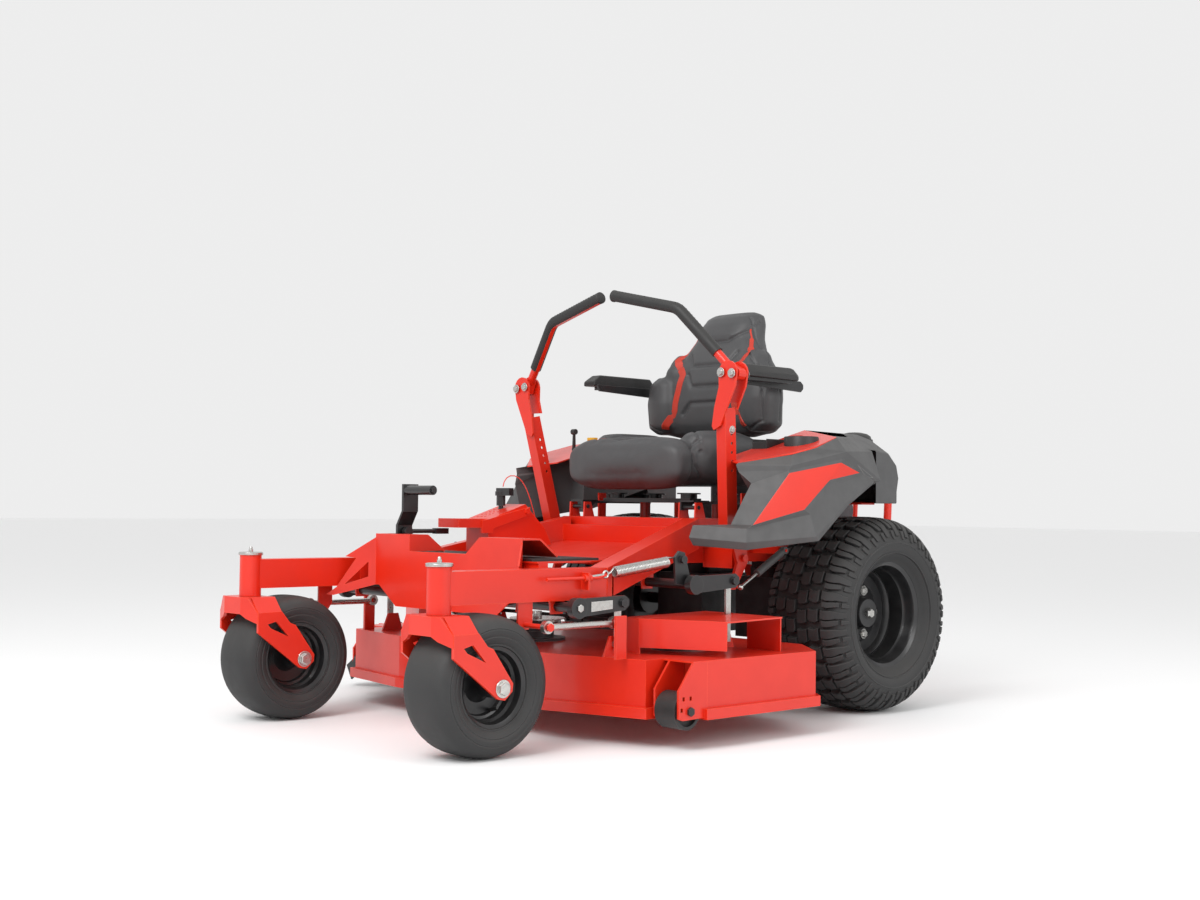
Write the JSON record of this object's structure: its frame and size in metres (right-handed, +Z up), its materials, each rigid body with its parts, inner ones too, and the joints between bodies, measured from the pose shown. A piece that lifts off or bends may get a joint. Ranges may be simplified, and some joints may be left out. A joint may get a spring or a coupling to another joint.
{
  "type": "zero turn mower",
  "caption": "Ride-on zero turn mower with a wide side-discharge deck, free front casters, driven rear wheels and two hinged steering levers.",
  "frame": {"origin": "on the ground under the middle of the line through the two front caster pivots", "axes": "+Z up, +Y from the front towards the rear, +X towards the operator's left"},
  "size_m": [1.6123, 2.0097, 1.1976],
  "materials": {
    "red_powder_coat": "gloss powder coat",
    "black_powder_coat": "satin powder coat",
    "zinc": "zinc plated",
    "grey_plastic": "moulded, fine grain",
    "black_plastic": "moulded",
    "tyre_rubber": "moulded rubber",
    "soft_rubber": "ribbed",
    "seat_vinyl": "stitched vinyl",
    "engine_metal": "cast with black shroud",
    "drive_metal": "painted casting",
    "yellow_plastic": "moulded"
  },
  "bodies": {
    "frame": {"frame": "red_powder_coat", "front_cover": "red_powder_coat", "foot_pan": "red_powder_coat", "foot_mat": "soft_rubber", "seat_box": "red_powder_coat", "fender_left": "grey_plastic", "fender_right": "grey_plastic", "fuel_tanks": "black_plastic", "engine": "engine_metal", "transaxles": "drive_metal", "depth_console": "red_powder_coat", "pin_lanyard": "red_powder_coat", "assist_springs": "zinc"},
    "fuel_cap": {"fuel_cap": "black_plastic"},
    "throttle": {"throttle_lever": "black_plastic"},
    "blade_switch": {"blade_switch": "yellow_plastic"},
    "ignition_key": {"ignition_key": "zinc"},
    "seat_tilt": {"seat_plate": "black_powder_coat"},
    "seat": {"seat_cushion": "seat_vinyl", "seat_back": "seat_vinyl"},
    "deck": {"deck_shell": "red_powder_coat", "belt_covers": "red_powder_coat", "spindle_housings": "engine_metal", "deck_belt": "soft_rubber", "hanger_rods": "zinc"},
    "blade_left": {"spindle_left": "zinc"},
    "blade_centre": {"spindle_centre": "zinc"},
    "blade_right": {"spindle_right": "zinc"},
    "clutch": {"clutch_pulley": "zinc"},
    "chute": {"discharge_chute": "black_plastic"},
    "drag_links": {"drag_links": "zinc"},
    "front_lift": {"front_lift": "black_powder_coat"},
    "rear_lift": {"rear_lift": "black_powder_coat"},
    "pedal": {"lift_pedal": "black_powder_coat"},
    "lift_rod": {"lift_rod": "black_powder_coat"},
    "height_pin": {"height_pin": "black_powder_coat"},
    "caster_left": {"caster_fork_left": "red_powder_coat"},
    "caster_wheel_left": {"caster_rim_left": "black_powder_coat", "caster_tyre_left": "tyre_rubber"},
    "rear_wheel_left": {"rear_rim_left": "black_powder_coat", "rear_tyre_left": "tyre_rubber"},
    "lever_left": {"lever_post_left": "red_powder_coat"},
    "lever_top_left": {"lever_tube_left": "red_powder_coat", "lever_grip_left": "soft_rubber"},
    "damper_left": {"damper_left": "grey_plastic"},
    "damper_rod_left": {"damper_rod_left": "zinc"},
    "armrest_left": {"armrest_left": "black_plastic"},
    "scalp_wheel_left": {"scalp_wheel_left": "black_plastic"},
    "caster_right": {"caster_fork_right": "red_powder_coat"},
    "caster_wheel_right": {"caster_rim_right": "black_powder_coat", "caster_tyre_right": "tyre_rubber"},
    "rear_wheel_right": {"rear_rim_right": "black_powder_coat", "rear_tyre_right": "tyre_rubber"},
    "lever_right": {"lever_post_right": "red_powder_coat"},
    "lever_top_right": {"lever_tube_right": "red_powder_coat", "lever_grip_right": "soft_rubber"},
    "damper_right": {"damper_right": "grey_plastic"},
    "damper_rod_right": {"damper_rod_right": "zinc"},
    "armrest_right": {"armrest_right": "black_plastic"},
    "scalp_wheel_right": {"scalp_wheel_right": "black_plastic"}
  },
  "joints": [
    {"name": "caster_swivel_left", "type": "hinge", "parent": "frame", "child": "caster_left", "pos_m": [0.415, 0, 0.33], "axis": [0, 0, 1], "continuous": true},
    {"name": "caster_spin_left", "type": "hinge", "parent": "caster_left", "child": "caster_wheel_left", "pos_m": [0.415, 0.109, 0.165], "axis": [1, 0, 0], "continuous": true},
    {"name": "drive_wheel_left", "type": "hinge", "parent": "frame", "child": "rear_wheel_left", "pos_m": [0.4445, 1.493, 0.279], "axis": [1, 0, 0], "continuous": true},
    {"name": "lever_sweep_left", "type": "hinge", "parent": "frame", "child": "lever_left", "pos_m": [0.374, 1.07, 0.44], "axis": [1, 0, 0], "range_deg": [-12, 12]},
    {"name": "lever_swing_left", "type": "hinge", "parent": "lever_left", "child": "lever_top_left", "pos_m": [0.449, 0.967, 0.9395], "axis": [0, 1, 0], "range_deg": [0, 35]},
    {"name": "damper_pivot_left", "type": "hinge", "parent": "frame", "child": "damper_left", "pos_m": [0.406, 1.21, 0.461], "axis": [1, 0, 0], "range_deg": [-5, 5]},
    {"name": "damper_stroke_left", "type": "slide", "parent": "damper_left", "child": "damper_rod_left", "axis": [0, -0.8783, -0.4782], "range_m": [-0.012, 0.012]},
    {"name": "armrest_lift_left", "type": "hinge", "parent": "seat", "child": "armrest_left", "pos_m": [0.28, 1.41925, 0.93963], "axis": [-1, 0, 0], "range_deg": [0, 80]},
    {"name": "scalp_spin_left", "type": "hinge", "parent": "deck", "child": "scalp_wheel_left", "pos_m": [0.64, 0.545, 0.095], "axis": [1, 0, 0], "continuous": true},
    {"name": "caster_swivel_right", "type": "hinge", "parent": "frame", "child": "caster_right", "pos_m": [-0.415, 0, 0.33], "axis": [0, 0, 1], "continuous": true},
    {"name": "caster_spin_right", "type": "hinge", "parent": "caster_right", "child": "caster_wheel_right", "pos_m": [-0.415, 0.109, 0.165], "axis": [1, 0, 0], "continuous": true},
    {"name": "drive_wheel_right", "type": "hinge", "parent": "frame", "child": "rear_wheel_right", "pos_m": [-0.4445, 1.493, 0.279], "axis": [1, 0, 0], "continuous": true},
    {"name": "lever_sweep_right", "type": "hinge", "parent": "frame", "child": "lever_right", "pos_m": [-0.374, 1.07, 0.44], "axis": [1, 0, 0], "range_deg": [-12, 12]},
    {"name": "lever_swing_right", "type": "hinge", "parent": "lever_right", "child": "lever_top_right", "pos_m": [-0.449, 0.967, 0.9395], "axis": [0, -1, 0], "range_deg": [0, 35]},
    {"name": "damper_pivot_right", "type": "hinge", "parent": "frame", "child": "damper_right", "pos_m": [-0.406, 1.21, 0.461], "axis": [1, 0, 0], "range_deg": [-5, 5]},
    {"name": "damper_stroke_right", "type": "slide", "parent": "damper_right", "child": "damper_rod_right", "axis": [0, -0.8783, -0.4782], "range_m": [-0.012, 0.012]},
    {"name": "armrest_lift_right", "type": "hinge", "parent": "seat", "child": "armrest_right", "pos_m": [-0.28, 1.41925, 0.93963], "axis": [-1, 0, 0], "range_deg": [0, 80]},
    {"name": "scalp_spin_right", "type": "hinge", "parent": "deck", "child": "scalp_wheel_right", "pos_m": [-0.64, 0.545, 0.095], "axis": [1, 0, 0], "continuous": true},
    {"name": "seat_tilt", "type": "hinge", "parent": "frame", "child": "seat_tilt", "pos_m": [0, 1.012, 0.578], "axis": [1, 0, 0], "range_deg": [0, 28]},
    {"name": "seat_slide", "type": "slide", "parent": "seat_tilt", "child": "seat", "axis": [0, 1, 0], "range_m": [-0.04, 0.04]},
    {"name": "deck_lift", "type": "slide", "parent": "frame", "child": "deck", "axis": [0, 0, 1], "range_m": [-0.03, 0.045]},
    {"name": "front_lift_turn", "type": "hinge", "parent": "frame", "child": "front_lift", "pos_m": [0, 0.354, 0.336], "axis": [1, 0, 0], "range_deg": [-12, 18]},
    {"name": "rear_lift_turn", "type": "hinge", "parent": "frame", "child": "rear_lift", "pos_m": [0, 0.757, 0.381], "axis": [1, 0, 0], "range_deg": [-12, 18], "deforming": ["assist_springs"]},
    {"name": "drag_link_turn", "type": "hinge", "parent": "frame", "child": "drag_links", "pos_m": [0, 0.242, 0.297], "axis": [1, 0, 0], "range_deg": [-8.5, 12.5]},
    {"name": "pedal_turn", "type": "hinge", "parent": "frame", "child": "pedal", "pos_m": [-0.288, 0.405, 0.37], "axis": [1, 0, 0], "range_deg": [-6.5, 9.5]},
    {"name": "lift_rod_slide", "type": "slide", "parent": "frame", "child": "lift_rod", "axis": [0, -1, 0], "range_m": [-0.015, 0.022]},
    {"name": "height_pin_pull", "type": "slide", "parent": "frame", "child": "height_pin", "axis": [0, 0, 1], "range_m": [0, 0.04], "deforming": ["pin_lanyard"]},
    {"name": "blade_spin_centre", "type": "hinge", "parent": "deck", "child": "blade_centre", "pos_m": [0, 0.65, 0.2], "axis": [0, 0, 1], "continuous": true},
    {"name": "blade_spin_left", "type": "hinge", "parent": "deck", "child": "blade_left", "pos_m": [0.427, 0.775, 0.2], "axis": [0, 0, 1], "continuous": true},
    {"name": "blade_spin_right", "type": "hinge", "parent": "deck", "child": "blade_right", "pos_m": [-0.427, 0.775, 0.2], "axis": [0, 0, 1], "continuous": true},
    {"name": "clutch_spin", "type": "hinge", "parent": "frame", "child": "clutch", "pos_m": [0, 1.543, 0.43], "axis": [0, 0, 1], "continuous": true},
    {"name": "chute_lift", "type": "hinge", "parent": "deck", "child": "chute", "pos_m": [-0.694, 0.81, 0.203], "axis": [0, 1, 0], "range_deg": [0, 100]},
    {"name": "fuel_cap_turn", "type": "hinge", "parent": "frame", "child": "fuel_cap", "pos_m": [0.45, 1.47, 0.74], "axis": [0, 0, 1], "continuous": true},
    {"name": "throttle_turn", "type": "hinge", "parent": "frame", "child": "throttle", "pos_m": [-0.45, 1.182, 0.76], "axis": [1, 0, 0], "range_deg": [-20, 20]},
    {"name": "blade_switch_pull", "type": "slide", "parent": "frame", "child": "blade_switch", "axis": [0, 0, 1], "range_m": [0, 0.012]},
    {"name": "ignition_key_turn", "type": "hinge", "parent": "frame", "child": "ignition_key", "pos_m": [-0.45, 1.312, 0.76], "axis": [0, 0, 1], "range_deg": [0, 60]}
  ],
  "couplings": [
    {"joint": "damper_pivot_left", "follows": "lever_sweep_left", "ratio": 0.351},
    {"joint": "damper_stroke_left", "follows": "lever_sweep_left", "m_per_rad": -0.0485},
    {"joint": "damper_pivot_right", "follows": "lever_sweep_right", "ratio": 0.351},
    {"joint": "damper_stroke_right", "follows": "lever_sweep_right", "m_per_rad": -0.0485},
    {"joint": "front_lift_turn", "follows": "deck_lift", "rad_per_m": 6.8},
    {"joint": "rear_lift_turn", "follows": "deck_lift", "rad_per_m": 6.8},
    {"joint": "drag_link_turn", "follows": "deck_lift", "rad_per_m": 4.673},
    {"joint": "pedal_turn", "follows": "deck_lift", "rad_per_m": 3.49},
    {"joint": "lift_rod_slide", "follows": "deck_lift", "ratio": 0.464},
    {"joint": "blade_spin_left", "follows": "blade_spin_centre", "ratio": 1},
    {"joint": "blade_spin_right", "follows": "blade_spin_centre", "ratio": 1},
    {"joint": "clutch_spin", "follows": "blade_spin_centre", "ratio": 1.0484}
  ]
}
